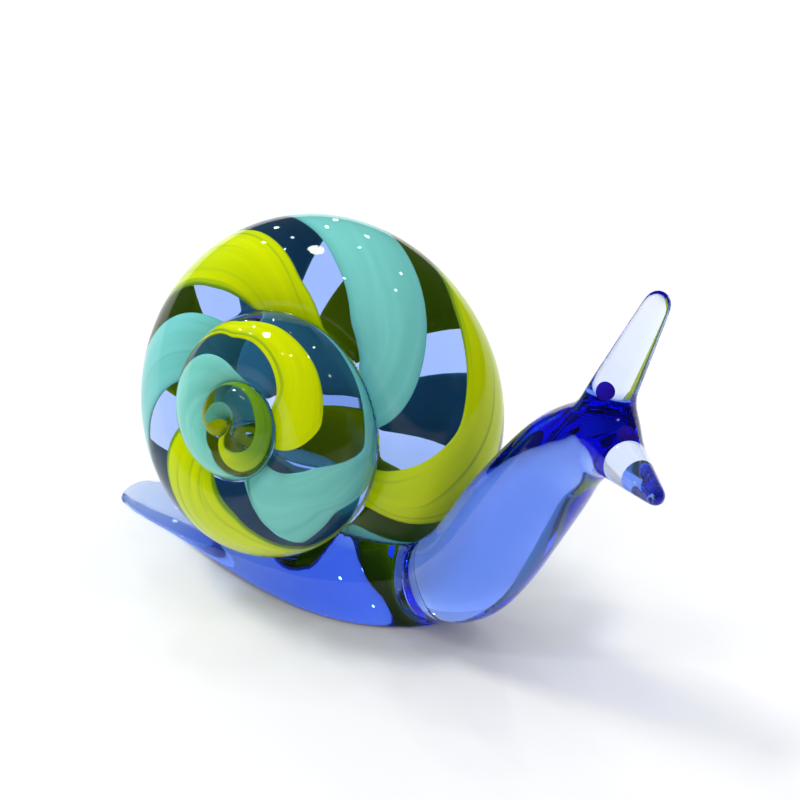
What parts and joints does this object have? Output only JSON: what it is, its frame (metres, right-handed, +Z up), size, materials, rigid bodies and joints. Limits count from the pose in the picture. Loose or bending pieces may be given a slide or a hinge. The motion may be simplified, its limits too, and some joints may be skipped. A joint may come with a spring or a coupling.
{
  "type": "snail figurine",
  "caption": "Lampworked glass snail ornament: cobalt foot, neck and tentacles fused to a coiled shell rod with opaque lime and mint ribbons inside.",
  "frame": {"origin": "on the flat of the foot, below the middle of the shell", "axes": "+X from tail to head, +Y to the snail's left, +Z up; the shell's apex looks towards -Y"},
  "size_m": [0.0615, 0.0223, 0.037],
  "materials": {
    "cobalt_glass": "fire-polished transparent cobalt glass, pale where thin and navy where thick",
    "tentacle_glass": "fire-polished transparent glass, nearly clear with a violet-blue rim at the tip",
    "pale_blue_glass": "fire-polished transparent pale blue glass over the ribbons",
    "lime_glass": "opaque lime green glass ribbon, streaked along its length",
    "mint_glass": "opaque mint green glass ribbon, streaked along its length",
    "eye_glass": "dark cobalt glass drop"
  },
  "bodies": {
    "root": {"shell_rod": "pale_blue_glass", "lime_ribbon": "lime_glass", "mint_ribbon": "mint_glass", "foot": "cobalt_glass", "neck_and_head": "cobalt_glass", "left_tentacle": "tentacle_glass", "right_tentacle": "tentacle_glass", "left_eye": "eye_glass", "right_eye": "eye_glass"}
  },
  "joints": []
}
